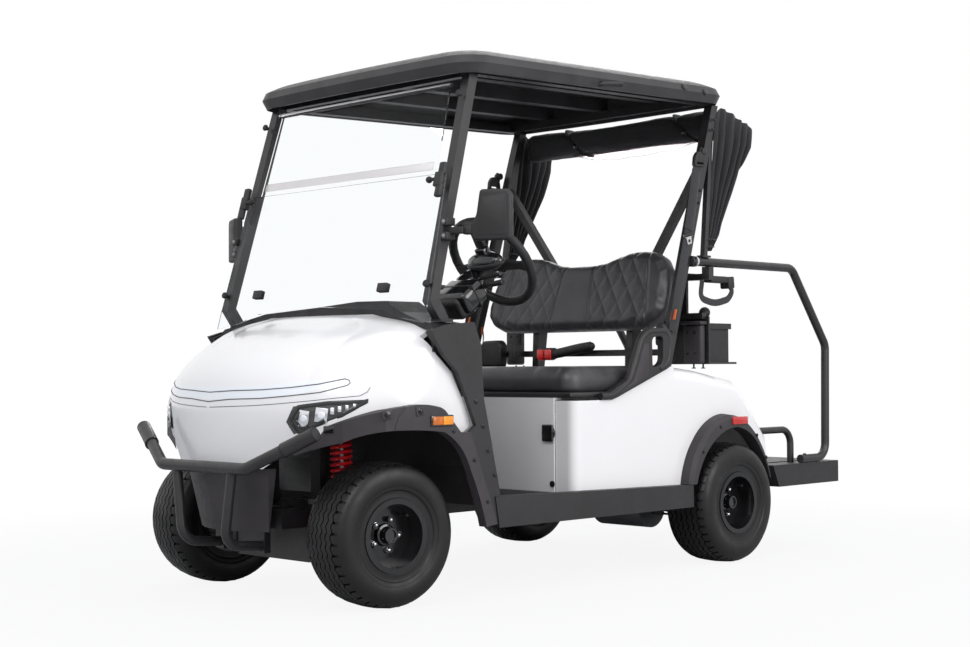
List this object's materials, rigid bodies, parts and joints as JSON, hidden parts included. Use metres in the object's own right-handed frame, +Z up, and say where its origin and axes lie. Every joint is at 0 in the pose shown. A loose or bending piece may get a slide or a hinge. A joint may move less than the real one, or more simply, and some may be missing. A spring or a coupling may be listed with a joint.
{
  "type": "golf cart",
  "caption": "Two-seat golf cart with a canopy, folding-style windscreen, bench seat, rear bag platform and hoops, on four wheels with turning steering.",
  "frame": {"origin": "centre of the bounding box in plan, on the ground", "axes": "-Y forwards, +X to the cart's left, +Z up"},
  "size_m": [1.4978, 2.852, 1.8513],
  "materials": {
    "body_white": "gloss white moulded panel",
    "trim_black": "grained black moulding",
    "canopy_charcoal": "satin charcoal moulding",
    "flare_grey": "grained dark grey",
    "frame_black": "black powder coat",
    "tyre": "black rubber",
    "rim_black": "satin black steel wheel",
    "screen": "clear sheet",
    "lens": "clear lens over a bright reflector",
    "strip": "pale translucent band",
    "spring_red": "red enamel",
    "steel": "machined steel",
    "leather": "quilted black leatherette",
    "canvas": "dark woven cover",
    "mat_rubber": "ribbed rubber mat"
  },
  "bodies": {
    "chassis": {"armrests": "trim_black", "bag_cover_roll": "canvas", "bag_cover_sides": "canvas", "bag_rack": "frame_black", "battery": "trim_black", "bumper_cover": "flare_grey", "bumper_guard": "frame_black", "chassis_frame": "frame_black", "dash": "trim_black", "drive_motor": "steel", "floor_mat": "mat_rubber", "floor_pan": "frame_black", "front_arms": "frame_black", "front_cowl": "body_white", "front_dampers": "steel", "front_flares": "flare_grey", "front_posts": "frame_black", "front_springs": "spring_red", "headlights": "lens", "light_strip": "strip", "mirrors": "trim_black", "pedals": "frame_black", "platform_supports": "frame_black", "rear_axle": "frame_black", "rear_body": "body_white", "rear_flares": "flare_grey", "rear_hoops": "frame_black", "rear_platform": "trim_black", "rear_posts": "frame_black", "rear_springs": "frame_black", "rocker_left": "trim_black", "rocker_right": "trim_black", "roof": "canopy_charcoal", "roof_frame": "frame_black", "seat_back": "leather", "seat_cushion": "leather", "seat_front_panel": "body_white", "seat_supports": "frame_black", "side_trims": "trim_black", "steering_column": "trim_black", "washer_box": "trim_black", "windscreen_lower": "screen", "windscreen_upper": "screen"},
    "steering_wheel": {"steering_wheel": "trim_black"},
    "knuckle_left": {"knuckle_left": "frame_black"},
    "knuckle_right": {"knuckle_right": "frame_black"},
    "track_rod": {"track_rod": "steel"},
    "wheel_front_left": {"rim_front_left": "rim_black", "tyre_front_left": "tyre"},
    "wheel_front_right": {"rim_front_right": "rim_black", "tyre_front_right": "tyre"},
    "wheel_rear_left": {"rim_rear_left": "rim_black", "tyre_rear_left": "tyre"},
    "wheel_rear_right": {"rim_rear_right": "rim_black", "tyre_rear_right": "tyre"}
  },
  "joints": [
    {"name": "steering_turn", "type": "hinge", "parent": "chassis", "child": "steering_wheel", "pos_m": [0.27, -0.367, 1.122], "axis": [0, 0.8039, 0.5948], "range_deg": [-314, 485]},
    {"name": "knuckle_turn_left", "type": "hinge", "parent": "chassis", "child": "knuckle_left", "pos_m": [0.325, -1.038, 0.2286], "axis": [0, 0, 1], "range_deg": [-22, 34]},
    {"name": "knuckle_turn_right", "type": "hinge", "parent": "chassis", "child": "knuckle_right", "pos_m": [-0.325, -1.038, 0.2286], "axis": [0, 0, 1], "range_deg": [-22, 34]},
    {"name": "track_rod_slide", "type": "slide", "parent": "chassis", "child": "track_rod", "axis": [1, 0, 0], "range_m": [-0.0633, 0.0412]},
    {"name": "spin_front_left", "type": "hinge", "parent": "knuckle_left", "child": "wheel_front_left", "pos_m": [0.44633, -1.05075, 0.2286], "axis": [0.9945, -0.1045, 0], "continuous": true},
    {"name": "spin_front_right", "type": "hinge", "parent": "knuckle_right", "child": "wheel_front_right", "pos_m": [-0.44633, -1.02525, 0.2286], "axis": [0.9945, -0.1045, 0], "continuous": true},
    {"name": "spin_rear_left", "type": "hinge", "parent": "chassis", "child": "wheel_rear_left", "pos_m": [0.53, 0.6076, 0.2286], "axis": [1, 0, 0], "continuous": true},
    {"name": "spin_rear_right", "type": "hinge", "parent": "chassis", "child": "wheel_rear_right", "pos_m": [-0.53, 0.6076, 0.2286], "axis": [1, 0, 0], "continuous": true}
  ],
  "couplings": [
    {"joint": "knuckle_turn_left", "follows": "steering_turn", "ratio": 0.07},
    {"joint": "knuckle_turn_right", "follows": "steering_turn", "ratio": 0.07},
    {"joint": "track_rod_slide", "follows": "steering_turn", "m_per_rad": -0.00744}
  ]
}
